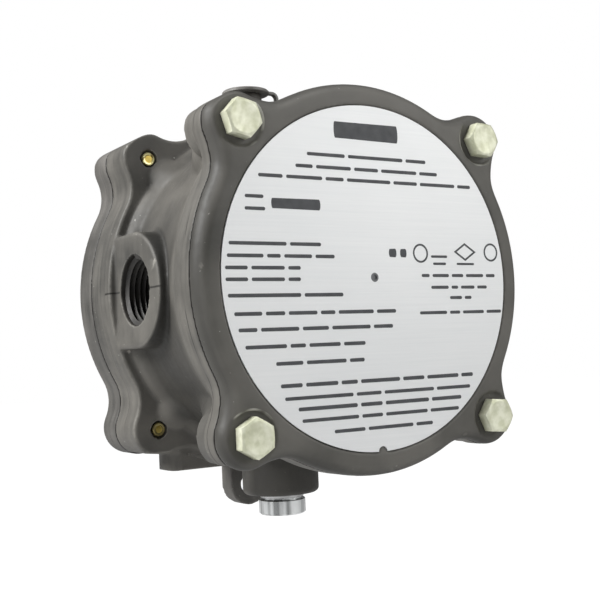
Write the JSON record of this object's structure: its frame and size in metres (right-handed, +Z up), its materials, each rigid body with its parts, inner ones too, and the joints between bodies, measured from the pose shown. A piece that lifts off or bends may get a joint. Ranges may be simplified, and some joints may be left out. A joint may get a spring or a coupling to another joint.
{
  "type": "explosion-proof pressure switch",
  "caption": "Explosion-proof differential pressure switch: round cast case with bolted front cover, conduit hub, pressure ports, drain plug, top set point adjuster and wall lugs.",
  "frame": {"origin": "centre of the flat rear face that goes against the wall, on the diaphragm's axis", "axes": "+Y points into the wall, so the front cover faces -Y; +Z is up; +X is to the viewer's right from the front"},
  "size_m": [0.117, 0.0907, 0.1492],
  "materials": {
    "housing_finish": "satin dark warm grey coated casting",
    "rear_cover_finish": "satin dark warm grey coated casting",
    "front_cover_finish": "satin dark warm grey coated casting",
    "nameplate_metal": "satin near-white metal plate",
    "zinc_bolts": "pale yellow-green zinc",
    "yellow_screws": "yellow zinc plated steel",
    "bright_plug": "bright turned metal",
    "gasket_metal": "plain soft metal ring",
    "seal_rubber": "matt black rubber",
    "plate_aluminium": "plain",
    "steel_parts": "zinc plated steel",
    "brass_parts": "plain turned brass",
    "switch_moulding": "dark brown phenolic moulding",
    "plunger_moulding": "red moulded button",
    "lid_moulding": "grey moulding",
    "ground_green": "green coated screw"
  },
  "bodies": {
    "case": {"main_housing": "housing_finish", "rear_cover": "rear_cover_finish", "front_cover": "front_cover_finish", "nameplate": "nameplate_metal", "cover_bolts": "zinc_bolts", "rear_cover_screws": "yellow_screws", "drain_plug": "bright_plug", "drain_gasket": "gasket_metal", "cover_o_ring": "seal_rubber", "diaphragm": "seal_rubber", "lever_pin": "steel_parts", "pin_clips": "steel_parts", "switch_bracket": "steel_parts", "bracket_screws": "steel_parts", "switch_screws": "steel_parts", "range_spring": "steel_parts", "lid_screw": "steel_parts", "lid_washer": "steel_parts", "rod_bushing": "brass_parts", "adjuster_bushing": "brass_parts", "switch_terminals": "brass_parts", "terminal_screws": "brass_parts", "switch_body": "switch_moulding", "ground_screw": "ground_green"},
    "rod": {"push_rod": "steel_parts", "diaphragm_front_plate": "plate_aluminium", "diaphragm_rear_plate": "plate_aluminium", "diaphragm_screw": "steel_parts"},
    "lever": {"lever": "steel_parts", "actuating_screw": "steel_parts", "actuating_nut": "steel_parts"},
    "plunger": {"switch_plunger": "plunger_moulding"},
    "adjuster": {"set_point_screw": "steel_parts", "screw_clip": "steel_parts"},
    "nut": {"spring_nut": "brass_parts"},
    "lid": {"adjuster_lid": "lid_moulding"}
  },
  "joints": [
    {"name": "rod_slide", "type": "slide", "parent": "case", "child": "rod", "axis": [0, -1, 0], "range_m": [0, 0.0008], "stiffness_N_per_m": 1500, "springref_m": -0.001, "deforming": ["diaphragm"]},
    {"name": "lever_turn", "type": "hinge", "parent": "case", "child": "lever", "pos_m": [0, -0.044, -0.012], "axis": [1, 0, 0], "range_deg": [0, 3.9]},
    {"name": "plunger_press", "type": "slide", "parent": "case", "child": "plunger", "axis": [0, -1, 0], "range_m": [0, 0.0014]},
    {"name": "set_point_turn", "type": "hinge", "parent": "case", "child": "adjuster", "pos_m": [-0.0093, -0.0323, 0.066], "axis": [0, 0, 1], "range_deg": [0, 2701]},
    {"name": "spring_nut_slide", "type": "slide", "parent": "case", "child": "nut", "axis": [0, 0, 1], "range_m": [-0.006, 0], "deforming": ["range_spring"]},
    {"name": "lid_swing", "type": "hinge", "parent": "case", "child": "lid", "pos_m": [0.0079, -0.0323, 0.0553], "axis": [0, 0, 1], "range_deg": [0, 110]}
  ],
  "couplings": [
    {"joint": "lever_turn", "follows": "rod_slide", "rad_per_m": 83.333},
    {"joint": "plunger_press", "follows": "rod_slide", "ratio": 1.6667},
    {"joint": "set_point_turn", "follows": "spring_nut_slide", "rad_per_m": -7854}
  ]
}
